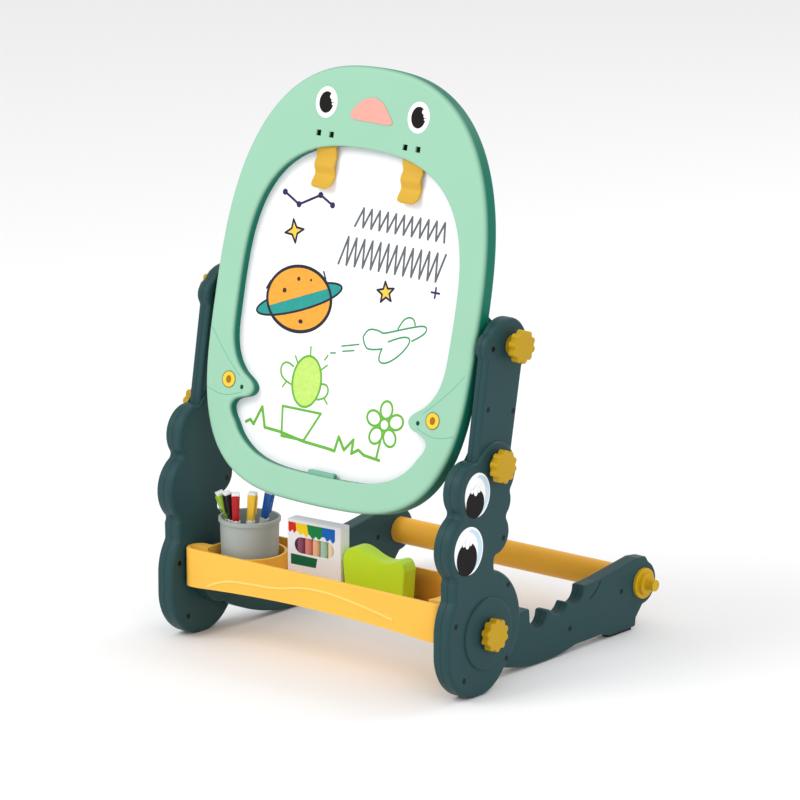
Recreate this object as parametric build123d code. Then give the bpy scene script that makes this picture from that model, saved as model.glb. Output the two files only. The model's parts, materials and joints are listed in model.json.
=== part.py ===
from build123d import *
import os
from math import acos, atan2, cos, hypot, pi, radians, sin

# Children's table easel. +X is its right side seen from the front, -Y the front, +Z up.
# The origin is on the ground at the middle of its width and depth. Millimetres.

# ---- overall size -----------------------------------------------------------------
WIDTH = 410.0
DEPTH = 370.0
HEIGHT = 600.0
REAR_Y = DEPTH / 2
KNOB_FACE_X = WIDTH / 2

# ---- clearances -------------------------------------------------------------------
GAP = 0.3
RUNNING = 0.05

# ---- pivots (y, z) on axes along X -------------------------------------------------
BOARD_PIVOT = (-82.0, 350.0)
ARM_PIVOT = (-110.5, 233.5)
REAR_PIVOT = (-123.0, 63.0)
BAR_AXIS = (162.0, 47.0)

# ---- front legs -------------------------------------------------------------------
LEG_OUT_X = 191.0
LEG_IN_X = 170.0
LEG_SEAM_X = (LEG_OUT_X + LEG_IN_X) / 2
LEG_WALL = 3.0
LEG_EDGE_R = 4.0
LEG_FOOT = (-135.0, 49.4, 50.0)
LEG_HUB = (-127.0, 70.0, 58.0)
LEG_LOBES = [(-148.0, 156.0, 37.0), (-141.0, 212.0, 29.5), (-109.0, 225.0, 32.0),
             (-104.0, 194.0, 20.0), (-109.0, 162.0, 22.0)]
LEG_CORE = [(-173.0, 80.0), (-174.0, 122.0), (-152.0, 150.0), (-145.0, 212.0), (-112.0, 238.0),
            (-102.0, 194.0), (-111.0, 160.0), (-111.0, 120.0), (-90.0, 85.0)]
LEG_SCREWS = [(-90.0, 106.0), (-173.0, 81.0), (-160.0, 22.0), (-92.0, 30.0), (-98.0, 156.0)]
LEG_SCREW_LEN = 16.0
# each eye plate on a leg: the white, then its pupil, as (y, z, half width, half height)
LEG_EYES = [((-140.0, 209.0, 19.7, 22.6), (-144.0, 201.0, 13.9, 14.7)),
            ((-153.6, 154.4, 22.5, 24.6), (-157.0, 147.0, 15.7, 17.0))]
NOTCH_R = 5.0
DISC_R = 37.0
DISC_H = 2.5

# ---- arms -------------------------------------------------------------------------
ARM_OUT_X = LEG_OUT_X - LEG_WALL - GAP
ARM_IN_X = LEG_IN_X + LEG_WALL + GAP
ARM_WALL = 2.2
ARM_EDGE_R = 3.0
ARM_END_R = 27.5
ARM_HEAD = (-87.0, 347.0, 31.0)
ARM_LOBE = (-108.0, 351.0, 15.0)
ARM_SHAFT = [(-137.5, 236.0), (-120.0, 338.0), (-62.0, 338.0), (-83.3, 230.0)]
ARM_SCREWS = [(-79.0, 282.0), (-119.0, 291.0), (-111.0, 351.0)]
ARM_SCREW_LEN = 11.0
ARM_BACK_DEG = -15.0
ARM_FORWARD_DEG = 10.0

# ---- rear legs and bar --------------------------------------------------------------
REAR_OUT_X = LEG_IN_X - 1.0
REAR_IN_X = REAR_OUT_X - 16.0
REAR_SEAM_X = (REAR_OUT_X + REAR_IN_X) / 2
REAR_WALL = 2.5
REAR_EDGE_R = 2.0
REAR_CORNER_R = 2.6
REAR_HUB_R = 30.0
REAR_END_R = REAR_Y - BAR_AXIS[0]
REAR_BELLY = [(-122.0, 33.0), (-25.0, 2.0), (50.0, 6.5)]
REAR_FOOT = [(93.0, 7.0), (107.0, 3.0), (151.0, 3.0), (152.0, 12.0), (163.0, 24.2)]
REAR_TOP = [(173.0, 67.0), (168.0, 74.0), (152.0, 76.0), (84.0, 67.0), (-40.0, 62.0), (-112.0, 90.8)]
REAR_NOTCHES = [(-12.0, 52.0, 13.5), (22.0, 61.0, 16.0), (49.0, 63.5, 13.5)]
# the level that the teeth are cut to at their middle, and its slope in degrees
REAR_TEETH = (55.0, 5.5)
NOTCH_CUT_H = 40.0
REAR_SCREWS = [(-60.0, 34.0), (40.0, 26.0), (126.0, 46.0)]
REAR_SCREW_LEN = 12.0
GROOVE_R = (37.0, 35.0)
PAD_Y = (109.0, 149.0)
PAD_H = 3.0
BAR_R = 14.0
BAR_WALL = 2.0
CAP_R = 16.0

# ---- pivot bolts, washers and hand knobs --------------------------------------------
BOLT_R = 4.0
BOLT_HEAD_R = 7.5
BOLT_HEAD_H = 3.0
KNOB_R = 17.0
KNOB_LOBES = 10
KNOB_LOBE_R = 3.6
KNOB_T = 8.5
KNOB_COLLAR_R = 10.0
KNOB_BACK_X = KNOB_FACE_X - KNOB_T
BOLT_END_X = KNOB_FACE_X - 2.5
WASHER_R = 13.0

# ---- board --------------------------------------------------------------------------
BOARD_TILT = 13.5
BOARD_Y = -107.2
BOARD_Z = 400.0
BOARD_T = 20.0
BOARD_SEAM = 12.0
BOARD_HALF_W = 169.0
BOARD_MID_V = -27.0
BOARD_TOP_V = 206.57
BOARD_LOW_V = -237.0
BOARD_EDGE_R = 5.0
BOARD_WALL = 3.0
OPEN_HALF_W = 139.0
OPEN_TOP_V = 124.0
OPEN_LOW_V = -206.5
OPEN_EDGE_R = 2.0
BOARD_CURVE = (2.5, 3.4)
OPEN_CURVE = (2.7, 3.7)
SHEET_T = 2.0
SHEET_LAP = 4.7
HEAD_SHAPE = [(138.6, -60.0), (137.5, -80.0), (133.0, -98.0), (125.5, -111.0), (115.5, -120.5),
              (105.5, -127.0), (101.2, -134.0), (104.5, -140.5), (113.0, -144.0), (121.5, -147.0),
              (127.0, -153.0), (125.5, -161.5), (118.5, -171.0)]
SIDE_EYE = (132.5, -129.3)
TOP_EYE = (59.3, 164.0)
TOP_EYE_WHITE = (13.7, 15.8)
TOP_EYE_PUPIL = (8.8, 10.8)
SIDE_EYE_R = 8.3
NOSE = (27.0, 20.0)
NOSE_V = 156.0
NOSE_LOW_V = 152.0
DECAL_T = 0.5
SLOT_V = 132.5
SLOT_X = (47.5, 64.0)
SLOT_SIZE = 6.0
LUG_R = 14.0
LUG_IN_X = 132.0
LUG_OUT_X = 168.5
BOARD_SCREWS = 10

# ---- paper clips ----------------------------------------------------------------------
CLIP_X = 55.7
CLIP_W = 25.0
CLIP_T = 2.4
CLIP_PIN_R = 1.5
# the clip's pin: height up the board, and depth behind its face
CLIP_AXIS = (126.0, -7.5)
# the pocket above each clip: lowest and highest height, and depth of its roof
CLIP_POCKET = (110.0, 134.0, 2.0)
# the blocks in the frame that hold each pin's ends: width and height
CLIP_BOSS = (3.0, 10.0)
CLIP_EYE_WALL = 1.7
# the clip's wave below its pin, as (depth, height)
CLIP_WAVE = [(6.4, 117.0), (9.0, 109.0), (6.6, 101.0), (10.0, 93.0), (8.6, 87.0), (3.2, 78.0)]
CLIP_TIP_V = 77.4
CLIP_TIP_R = 7.0

# ---- tray and what stands in it ---------------------------------------------------------
TRAY_FRONT_Y = -170.0
TRAY_REAR_Y = -74.0
TRAY_HALF_W = 151.0
TRAY_EAR_X = LEG_IN_X - 0.2
TRAY_EAR_REAR_Y = -154.5
TRAY_LEDGE_REAR_Y = -143.0
TRAY_Z = 58.0
TRAY_TOP_Z = 98.0
TRAY_FLOOR_Z = 67.0
TRAY_WALL = 4.0
TRAY_ARCH = 6.0
TRAY_CORNER_R = 20.0
TRAY_EAR_R = 12.0
TRAY_LIP = 3.5
TRAY_LIP_R = 1.5
TRAY_SCREW = (-163.0, 84.0)
CUP_AXIS = (-115.0, -127.0)
CUP_R = 32.0
CUP_BODY_R = 30.4
CUP_FOOT_R = 28.6
CUP_WALL = 1.6
CUP_RIM_Z = 131.0
CUP_RIM_H = 4.0
DIVIDER_R = 35.5
DIVIDER_T = 3.0
BOX_CENTRE = (-30.5, -119.0)
BOX_SIZE = (66.0, 15.0, 71.0)
BOX_WALL = 0.8
BOX_TURN = 4.0
CHALK_R = 4.4
CHALK_PITCH = 9.6
CHALK_COUNT = 5
CHALK_LEN = 60.0
WINDOW = (49.0, 17.0, 45.0)
ERASER_FACE_Y = -122.0
ERASER_T = 18.0
FELT_T = 4.0
FELT_SIZE = (70.0, 38.0, 4.0)
ERASER_TOP = [(3.0, 104.0), (11.0, 118.0), (23.0, 121.0), (44.0, 114.0), (63.0, 112.5),
              (77.5, 116.0), (84.0, 106.0)]
ERASER_FOOT_X = (7.0, 81.0)
MARKER_R = 4.5
MARKER_CAP_R = 5.0
MARKER_LEN = 90.0
MARKER_CAP_LEN = 30.0
MARKER_Z = 71.0
VIEW_TURN = 39.0
# each marker: colour name, then (across, away) of its foot and of where it passes the rim
MARKERS = [("green", (-2.0, 12.0), (-22.5, 6.0)),
           ("black", (-8.0, -3.5), (-18.0, -8.0)),
           ("red", (-13.5, -14.0), (-13.5, -17.5)),
           ("yellow", (-3.0, -13.5), (1.5, -15.0)),
           ("blue", (3.5, 2.5), (15.5, -2.0))]

os.makedirs("parts", exist_ok=True)


# ---- helpers ------------------------------------------------------------------------------
def save(name, *shapes):
    """Write one node's solids to its own file."""
    solids = [solid for shape in shapes for solid in shape.solids()]
    export_step(Compound(children=solids) if len(solids) > 1 else solids[0], f"parts/{name}.step")


def left(shape):
    """The same piece on the other side."""
    return mirror(shape, Plane.YZ)


def side(x):
    """Plane across X: its first axis is +Y, its second +Z."""
    return Plane.YZ.offset(x)


def slab(outline, x_from, x_to):
    """A side outline as a solid between two X positions."""
    return extrude(side(x_from) * outline, amount=x_to - x_from)


def rod(centre, radius, x_from, x_to):
    """A round bar along X."""
    return slab(Pos(*centre) * Circle(radius), x_from, x_to)


def polygon(points):
    """A filled polygon that faces up, whichever way round its points run."""
    shape = Polygon(*points, align=None)
    facing_up = shape.face().normal_at().Z > 0
    return shape if facing_up else Polygon(*reversed(points), align=None)


def outline_of(points, circles=()):
    """A closed outline: a polygon joined with discs given as (across, up, radius)."""
    shape = polygon(points)
    for across, up, radius in circles:
        shape += Pos(across, up) * Circle(radius)
    return shape


def belt(low, high):
    """The outline of a belt round two discs, each given as (across, up, radius)."""
    across = high[0] - low[0]
    up = high[1] - low[1]
    lean = atan2(up, across)
    spread = acos((low[2] - high[2]) / hypot(across, up))

    def on(disc, angle):
        return (disc[0] + disc[2] * cos(angle), disc[1] + disc[2] * sin(angle))

    first, second = lean - spread, lean + spread
    edges = Line(on(low, first), on(high, first))
    edges += ThreePointArc(on(high, first), on(high, lean), on(high, second))
    edges += Line(on(high, second), on(low, second))
    edges += ThreePointArc(on(low, second), on(low, lean + pi), on(low, first))
    return make_face(edges)


def ease(outline, hollow_r, corner_r=0.0):
    """Round the hollow corners of an outline, then its outward corners."""
    grown = offset(outline, amount=hollow_r, kind=Kind.ARC)
    shrunk = offset(grown, amount=-(hollow_r + corner_r), kind=Kind.ARC)
    return offset(shrunk, amount=corner_r, kind=Kind.ARC) if corner_r else shrunk


def rounded_slab(outline, x_seam, x_face, edge_r):
    """A slab whose edge at x_face is rounded."""
    thick = abs(x_face - x_seam)
    body = slab(outline, x_seam, x_seam + thick)
    body = fillet(body.faces().sort_by(Axis.X)[-1].edges(), edge_r)
    return body if x_face > x_seam else mirror(body, side(x_seam))


def half_shell(outline, pocket, x_seam, x_face, wall, edge_r, posts):
    """One hollow half of a moulded side plate, open at its seam, with screw posts inside."""
    step = wall if x_face > x_seam else -wall
    body = rounded_slab(outline, x_seam, x_face, edge_r)
    body -= slab(pocket, x_seam, x_face - step)
    for post in posts:
        body += rod(post, 3.5, x_seam, x_face - step)
    return body


def screw(centre, x_head, length):
    """A pan-head screw that points along -X from its head."""
    return rod(centre, 2.7, x_head - 1.4, x_head) + rod(centre, 1.4, x_head - length, x_head)


def screw_space(centre, x_head, length):
    """The hole and recess that a screw sits in."""
    return rod(centre, 2.9, x_head - 1.5, x_head + 2) + rod(centre, 1.45, x_head - length - 0.1, x_head)


def bolt(centre, x_head, x_end):
    """A round-head bolt along X."""
    head_to = x_head + BOLT_HEAD_H
    return rod(centre, BOLT_HEAD_R, x_head, head_to) + rod(centre, BOLT_R, x_head, x_end)


# ---- front legs ---------------------------------------------------------------------------
def leg_outline():
    shape = belt(LEG_FOOT, LEG_HUB) + outline_of(LEG_CORE, LEG_LOBES)
    above_ground = Pos(LEG_HUB[0], HEIGHT / 2) * Rectangle(DEPTH, HEIGHT)
    return ease(shape, NOTCH_R) & above_ground


def arm_outline():
    shape = outline_of(ARM_SHAFT, [ARM_HEAD, ARM_LOBE, (*ARM_PIVOT, ARM_END_R)])
    return ease(shape, NOTCH_R)


def arm_path():
    """The space that an arm's lower end sweeps inside the leg."""
    tall = polygon([(-ARM_END_R, 0), (ARM_END_R, 0), (ARM_END_R, 70), (-ARM_END_R, 70)])
    strip = offset(tall + Circle(ARM_END_R), amount=0.7, kind=Kind.ARC)
    lean = -10.0
    sweep = None
    for turn in (ARM_BACK_DEG - 1, -7.5, 0, 5, ARM_FORWARD_DEG + 1):
        turned = Pos(*ARM_PIVOT) * Rot(0, 0, lean + turn) * strip
        sweep = turned if sweep is None else sweep + turned
    return sweep


def front_leg():
    outline = leg_outline()
    pocket = offset(outline, amount=-LEG_WALL, kind=Kind.ARC) + arm_path()
    outer = half_shell(outline, pocket, LEG_SEAM_X, LEG_OUT_X, LEG_WALL, LEG_EDGE_R, LEG_SCREWS)
    inner = half_shell(outline, pocket, LEG_SEAM_X, LEG_IN_X, LEG_WALL, LEG_EDGE_R, LEG_SCREWS)
    hub_post = rod(REAR_PIVOT, BOLT_R + 5, LEG_IN_X + 1, LEG_OUT_X - 1)
    outer += hub_post & Pos(LEG_SEAM_X + 50, 0, 0) * Box(100, 900, 900)
    inner += hub_post & Pos(LEG_SEAM_X - 50, 0, 0) * Box(100, 900, 900)
    for pivot in (ARM_PIVOT, REAR_PIVOT):
        hole = rod(pivot, BOLT_R + RUNNING, LEG_IN_X - 1, LEG_OUT_X + 5)
        outer -= hole
        inner -= hole
    return outer, inner


def hub_disc():
    """Raised round plate round the lowest knob's bolt."""
    disc = rod(REAR_PIVOT, DISC_R, LEG_OUT_X, LEG_OUT_X + DISC_H)
    disc = fillet(disc.faces().sort_by(Axis.X)[-1].edges(), DISC_H - 0.3)
    return disc - rod(REAR_PIVOT, BOLT_R + RUNNING, LEG_OUT_X - 1, LEG_OUT_X + DISC_H + 1)


def front_legs():
    outer, inner = front_leg()
    disc = hub_disc()
    save("leg_hub_discs", disc, left(disc))
    heads = {"right": LEG_OUT_X, "left": -LEG_IN_X}
    shells = {"right": (outer, inner), "left": (left(outer), left(inner))}
    screws = []
    for hand, head in heads.items():
        shell_out, shell_in = shells[hand]
        for place in LEG_SCREWS:
            space = screw_space(place, head, LEG_SCREW_LEN)
            shell_out -= space
            shell_in -= space
            screws.append(screw(place, head - 0.1, LEG_SCREW_LEN))
        save(f"leg_{hand}_outer", shell_out)
        save(f"leg_{hand}_inner", shell_in)
    save("leg_screws", *screws)


def leg_eyes():
    """Eye plates on the outer faces of the legs: whites, with pupils on top."""
    whites = []
    pupils = []
    for (y, z, across, up), (py, pz, pa, pu) in LEG_EYES:
        white = slab(Pos(y, z) * Ellipse(across, up), LEG_OUT_X, LEG_OUT_X + DECAL_T)
        pupil = slab(Pos(py, pz) * Ellipse(pa, pu), LEG_OUT_X + DECAL_T, LEG_OUT_X + 2 * DECAL_T)
        whites += [white, left(white)]
        pupils += [pupil, left(pupil)]
    save("leg_eye_whites", *whites)
    save("leg_eye_pupils", *pupils)


# ---- arms ---------------------------------------------------------------------------------
def arms():
    outline = arm_outline()
    pocket = offset(outline, amount=-ARM_WALL, kind=Kind.ARC)
    halves = {"outer": ARM_OUT_X, "inner": ARM_IN_X}
    screws = []
    for hand, head in (("right", ARM_OUT_X), ("left", -ARM_IN_X)):
        for half, face in halves.items():
            shell = half_shell(outline, pocket, LEG_SEAM_X, face, ARM_WALL, ARM_EDGE_R, ARM_SCREWS)
            for pivot, radius in ((BOARD_PIVOT, BOLT_R + RUNNING), (ARM_PIVOT, BOLT_R)):
                inward = -1 if half == "outer" else 1
                shell += rod(pivot, BOLT_R + 4, LEG_SEAM_X, face + inward * 0.5)
                shell -= rod(pivot, radius, ARM_IN_X - 1, ARM_OUT_X + 1)
            shell = shell if hand == "right" else left(shell)
            for place in ARM_SCREWS:
                shell -= screw_space(place, head, ARM_SCREW_LEN)
            save(f"arm_{hand}_{half}", shell)
        screws += [screw(place, head - 0.1, ARM_SCREW_LEN) for place in ARM_SCREWS]
    save("arm_screws", *screws)
    washer = rod(BOARD_PIVOT, WASHER_R, LUG_OUT_X + GAP, ARM_IN_X)
    washer -= rod(BOARD_PIVOT, BOLT_R + RUNNING, LUG_OUT_X, ARM_IN_X + 1)
    save("board_washers", washer, left(washer))


# ---- rear frame -----------------------------------------------------------------------------
def rear_outline():
    """Side outline of a rear leg: round hub, low belly, flat foot and a toothed back."""
    edges = ThreePointArc(*REAR_BELLY) + Polyline(REAR_BELLY[-1], *REAR_FOOT, *REAR_TOP, REAR_BELLY[0])
    shape = make_face(edges)
    shape += Pos(*REAR_PIVOT) * Circle(REAR_HUB_R)
    shape += Pos(*BAR_AXIS) * Circle(REAR_END_R)
    first, last = REAR_NOTCHES[0], REAR_NOTCHES[-1]
    level, slope = REAR_TEETH
    cut = Pos(0, NOTCH_CUT_H / 2) * Rectangle(last[0] - first[0] + 2 * first[2], NOTCH_CUT_H)
    teeth = Pos((first[0] + last[0]) / 2, level) * Rot(0, 0, slope) * cut
    for y, z, radius in REAR_NOTCHES:
        teeth += Pos(y, z) * Circle(radius)
    return ease(shape - teeth, REAR_CORNER_R, REAR_CORNER_R)


def rear_frame():
    outline = rear_outline()
    pocket = offset(outline, amount=-REAR_WALL, kind=Kind.ARC)
    groove = Pos(60.0, 84.0) * (Circle(GROOVE_R[0]) - Circle(GROOVE_R[1]))
    groove &= Pos(90.0, 57.0) * Rectangle(34, 16)
    screws = []
    for hand, head in (("right", REAR_OUT_X), ("left", -REAR_IN_X)):
        for half, face in (("outer", REAR_OUT_X), ("inner", REAR_IN_X)):
            shell = half_shell(outline, pocket, REAR_SEAM_X, face, REAR_WALL, REAR_EDGE_R, REAR_SCREWS)
            inward = -1 if half == "outer" else 1
            shell += rod(REAR_PIVOT, BOLT_HEAD_R + 3, REAR_SEAM_X, face + inward * 0.5)
            shell += rod(BAR_AXIS, BAR_R + 3, REAR_SEAM_X, face + inward * 0.5)
            shell -= rod(REAR_PIVOT, BOLT_R, REAR_IN_X - 1, REAR_OUT_X + 1)
            shell -= rod(REAR_PIVOT, BOLT_HEAD_R + 0.3, REAR_IN_X - 1, REAR_IN_X + BOLT_HEAD_H + 0.4)
            shell -= rod(BAR_AXIS, BAR_R, REAR_IN_X - 1, REAR_OUT_X + 1)
            if half == "outer":
                shell -= slab(groove, REAR_OUT_X - 0.8, REAR_OUT_X + 1)
            shell = shell if hand == "right" else left(shell)
            for place in REAR_SCREWS:
                shell -= screw_space(place, head, REAR_SCREW_LEN)
            save(f"rear_leg_{hand}_{half}", shell)
        screws += [screw(place, head - 0.1, REAR_SCREW_LEN) for place in REAR_SCREWS]
    save("rear_leg_screws", *screws)
    bar = rod(BAR_AXIS, BAR_R, -REAR_OUT_X, REAR_OUT_X)
    save("rear_bar", bar - rod(BAR_AXIS, BAR_R - BAR_WALL, -REAR_OUT_X - 1, REAR_OUT_X + 1))
    cap = rod(BAR_AXIS, BAR_R - BAR_WALL, REAR_OUT_X - 14, REAR_OUT_X)
    cap += rod(BAR_AXIS, CAP_R, REAR_OUT_X, REAR_OUT_X + 3)
    cap += rod(BAR_AXIS, CAP_R - 4.5, REAR_OUT_X + 2, REAR_OUT_X + 7)
    cap += rod(BAR_AXIS, 6.0, REAR_OUT_X + 6, REAR_OUT_X + 17)
    save("bar_caps", cap, left(cap))
    middle = sum(PAD_Y) / 2
    pad = Pos((REAR_OUT_X + REAR_IN_X) / 2, middle, PAD_H / 2) * Box(10, PAD_Y[1] - PAD_Y[0], PAD_H)
    pad = fillet(pad.edges().filter_by(Axis.Z), 3.0)
    save("foot_pads", pad, left(pad))


# ---- pivot hardware -----------------------------------------------------------------------------
def knob_outline():
    shape = Circle(KNOB_R - KNOB_LOBE_R + 1.2)
    for turn in range(KNOB_LOBES):
        angle = 2 * pi * (turn + 0.5) / KNOB_LOBES
        reach = KNOB_R - KNOB_LOBE_R
        shape += Pos(reach * cos(angle), reach * sin(angle)) * Circle(KNOB_LOBE_R)
    return ease(shape, 1.6, 0.2)


def knob(centre, seat_x):
    """Scalloped hand knob: a blind bore from its back and a collar down to its seat."""
    body = rounded_slab(Pos(*centre) * knob_outline(), KNOB_BACK_X, KNOB_FACE_X, 1.6)
    body += rod(centre, KNOB_COLLAR_R, seat_x + GAP, KNOB_BACK_X + 1)
    body -= rod(centre, BOLT_R + RUNNING, seat_x, BOLT_END_X + 0.4)
    return body


def hardware():
    seats = {"top": (BOARD_PIVOT, ARM_OUT_X), "middle": (ARM_PIVOT, LEG_OUT_X),
             "bottom": (REAR_PIVOT, LEG_OUT_X + DISC_H)}
    for level, (centre, seat) in seats.items():
        piece = knob(centre, seat)
        save(f"knob_{level}_right", piece)
        save(f"knob_{level}_left", left(piece))
    heads = {"board_bolts": (BOARD_PIVOT, LUG_IN_X - BOLT_HEAD_H),
             "arm_bolts": (ARM_PIVOT, LEG_IN_X - BOLT_HEAD_H - 0.5),
             "rear_bolts": (REAR_PIVOT, REAR_IN_X + 0.2)}
    for name, (centre, head) in heads.items():
        piece = bolt(centre, head, BOLT_END_X)
        save(name, piece, left(piece))


# ---- board ----------------------------------------------------------------------------------------
BOARD_PLANE = Plane(origin=(0, BOARD_Y, BOARD_Z), x_dir=(1, 0, 0),
                    z_dir=(0, -cos(radians(BOARD_TILT)), sin(radians(BOARD_TILT))))


def power(value, exponent):
    return (1 if value >= 0 else -1) * abs(value) ** exponent


def egg_points(half_w, top, low, shape, count=44):
    """Points round a superellipse with its own height and squareness above and below."""
    points = []
    for step in range(count):
        angle = 2 * pi * (step + 0.5) / count
        n, rise = (shape[0], top - BOARD_MID_V) if sin(angle) > 0 else (shape[1], BOARD_MID_V - low)
        across = half_w * power(cos(angle), 2 / n)
        points.append((across, BOARD_MID_V + rise * power(sin(angle), 2 / n)))
    return points


def board_outline(grow=0.0):
    points = egg_points(BOARD_HALF_W + grow, BOARD_TOP_V + grow, BOARD_LOW_V - grow, BOARD_CURVE)
    return make_face(Spline(*points, periodic=True))


def opening_points(grow=0.0):
    return egg_points(OPEN_HALF_W + grow, OPEN_TOP_V + grow, OPEN_LOW_V - grow, OPEN_CURVE)


def opening_outline(grow=0.0):
    return make_face(Spline(*opening_points(grow), periodic=True))


def window_outline():
    """The opening seen from the front, with an animal head reaching in from each side."""
    wall = opening_points()
    head_top = HEAD_SHAPE[0][1] + 4
    head_low = HEAD_SHAPE[-1][1] - 4
    upper = [point for point in wall if point[1] > head_top]
    lower = [point for point in wall if point[1] < head_low]
    right_head = HEAD_SHAPE
    left_head = [(-x, v) for x, v in reversed(HEAD_SHAPE)]
    # the wall runs anticlockwise from the right: top, left head, bottom, right head
    start = min(range(len(upper)), key=lambda index: upper[index][1] - upper[index][0])
    upper = upper[start:] + upper[:start]
    return make_face(Spline(*upper, *reversed(left_head), *lower, *reversed(right_head), periodic=True))


def board_slab(outline, depth_from, depth_to):
    """A board outline as a solid between two depths behind the board's face."""
    return extrude(BOARD_PLANE.offset(-depth_from) * outline, amount=depth_from - depth_to)


def board_front():
    body = board_slab(board_outline() - window_outline(), 0, BOARD_SEAM)
    face = body.faces().sort_by(Axis(BOARD_PLANE.origin, BOARD_PLANE.z_dir))[-1]
    body = fillet(face.outer_wire().edges(), BOARD_EDGE_R)
    face = body.faces().sort_by(Axis(BOARD_PLANE.origin, BOARD_PLANE.z_dir))[-1]
    body = fillet(face.inner_wires()[0].edges(), OPEN_EDGE_R)
    groove = board_outline(-BOARD_WALL) - opening_outline(BOARD_WALL)
    body -= board_slab(groove, BOARD_WALL, BOARD_SEAM + 1)
    for x in (-SLOT_X[1], -SLOT_X[0], SLOT_X[0], SLOT_X[1]):
        body -= board_slab(Pos(x, SLOT_V) * Rectangle(SLOT_SIZE, SLOT_SIZE), -1, BOARD_WALL + 1)
    return clip_seats(body)


def clip_seats(body):
    """Blocks inside the frame for the clips' pins, and the pocket that each clip swings in."""
    low, high, roof = CLIP_POCKET
    width, height = CLIP_BOSS
    ring = board_outline() - opening_outline()
    for x in (-CLIP_X, CLIP_X):
        block = Pos(x, CLIP_AXIS[0]) * Rectangle(CLIP_W + 1 + 2 * width, height)
        body += board_slab(block & ring, BOARD_WALL - 1, BOARD_SEAM)
        pocket = Pos(x, (low + high) / 2) * Rectangle(CLIP_W + 1, high - low)
        body -= board_slab(pocket, roof, BOARD_SEAM + 1)
    pin = clip_pin()
    return body - pin - left(pin)


def screw_ring():
    """Places of the board's rear screws, between its two outlines."""
    places = []
    for step in range(BOARD_SCREWS):
        angle = 2 * pi * (step + 0.5) / BOARD_SCREWS
        n, rise = (2.6, 165.0 + 27) if sin(angle) > 0 else (3.5, 219.0 - 27)
        places.append((154.0 * power(cos(angle), 2 / n), BOARD_MID_V + rise * power(sin(angle), 2 / n)))
    return places


def lug():
    """Pivot block behind the right side of the board."""
    tilt = radians(BOARD_TILT)
    along = (sin(tilt), cos(tilt))
    depth = (-cos(tilt), sin(tilt))
    back = (BOARD_Y - depth[0] * (BOARD_T - 2), BOARD_Z - depth[1] * (BOARD_T - 2))
    shift = (BOARD_PIVOT[0] - back[0]) * along[0] + (BOARD_PIVOT[1] - back[1]) * along[1]
    foot = (back[0] + along[0] * shift, back[1] + along[1] * shift)
    reach = 24.0
    base = [(foot[0] + along[0] * reach, foot[1] + along[1] * reach),
            (foot[0] - along[0] * reach, foot[1] - along[1] * reach),
            (BOARD_PIVOT[0] - along[0] * LUG_R, BOARD_PIVOT[1] - along[1] * LUG_R),
            (BOARD_PIVOT[0] + along[0] * LUG_R, BOARD_PIVOT[1] + along[1] * LUG_R)]
    return slab(outline_of(base, [(*BOARD_PIVOT, LUG_R)]), LUG_IN_X, LUG_OUT_X)


def board_rear():
    ring = board_outline() - opening_outline()
    body = board_slab(ring, BOARD_SEAM, BOARD_T)
    face = body.faces().sort_by(Axis(BOARD_PLANE.origin, BOARD_PLANE.z_dir))[0]
    body = fillet(face.edges(), 4.0)
    body -= board_slab(opening_outline(SHEET_LAP + GAP), BOARD_SEAM - 1, BOARD_SEAM + 2 * SHEET_T)
    body += lug() + left(lug())
    for sign in (-1, 1):
        body -= rod(BOARD_PIVOT, BOLT_R, sign * (LUG_IN_X - 1), sign * (LUG_OUT_X + 1))
    return body


def board_screws():
    solids = []
    for x, v in screw_ring():
        disc = Pos(x, v) * Circle(2.7)
        shank = Pos(x, v) * Circle(1.4)
        solids.append(board_slab(disc, BOARD_T - 1.5, BOARD_T - 0.1) + board_slab(shank, 9.0, BOARD_T - 1))
    return solids


def board():
    front = board_front()
    rear = board_rear()
    for x, v in screw_ring():
        front += board_slab(Pos(x, v) * Circle(3.5), BOARD_WALL, BOARD_SEAM)
        hole = board_slab(Pos(x, v) * Circle(1.45), 8.5, BOARD_T + 1)
        front -= hole
        rear -= hole
        rear -= board_slab(Pos(x, v) * Circle(2.9), BOARD_T - 1.6, BOARD_T + 1)
    save("board_frame_front", front)
    save("board_frame_rear", rear)
    save("board_screws", *board_screws())
    sheet = opening_outline(SHEET_LAP)
    save("whiteboard_sheet", board_slab(sheet, BOARD_SEAM, BOARD_SEAM + SHEET_T))
    save("blackboard_sheet", board_slab(sheet, BOARD_SEAM + SHEET_T, BOARD_SEAM + 2 * SHEET_T))
    board_face()


def board_face():
    """Thin eyes and nose plates on the board's front."""
    white = board_slab(Pos(*TOP_EYE) * Ellipse(*TOP_EYE_WHITE), -DECAL_T, 0)
    pupil = board_slab(Pos(*TOP_EYE) * Ellipse(*TOP_EYE_PUPIL), -2 * DECAL_T, -DECAL_T)
    ring = board_slab(Pos(*SIDE_EYE) * Circle(SIDE_EYE_R), -DECAL_T, 0)
    nose = Pos(0, NOSE_V) * Ellipse(*NOSE) & Pos(0, NOSE_LOW_V + NOSE[1]) * Rectangle(WIDTH, 2 * NOSE[1])
    save("board_eye_whites", white, left(white))
    save("board_eye_pupils", pupil, left(pupil))
    save("head_eyes", ring, left(ring))
    save("board_nose", board_slab(nose, -2 * DECAL_T, 0))


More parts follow.
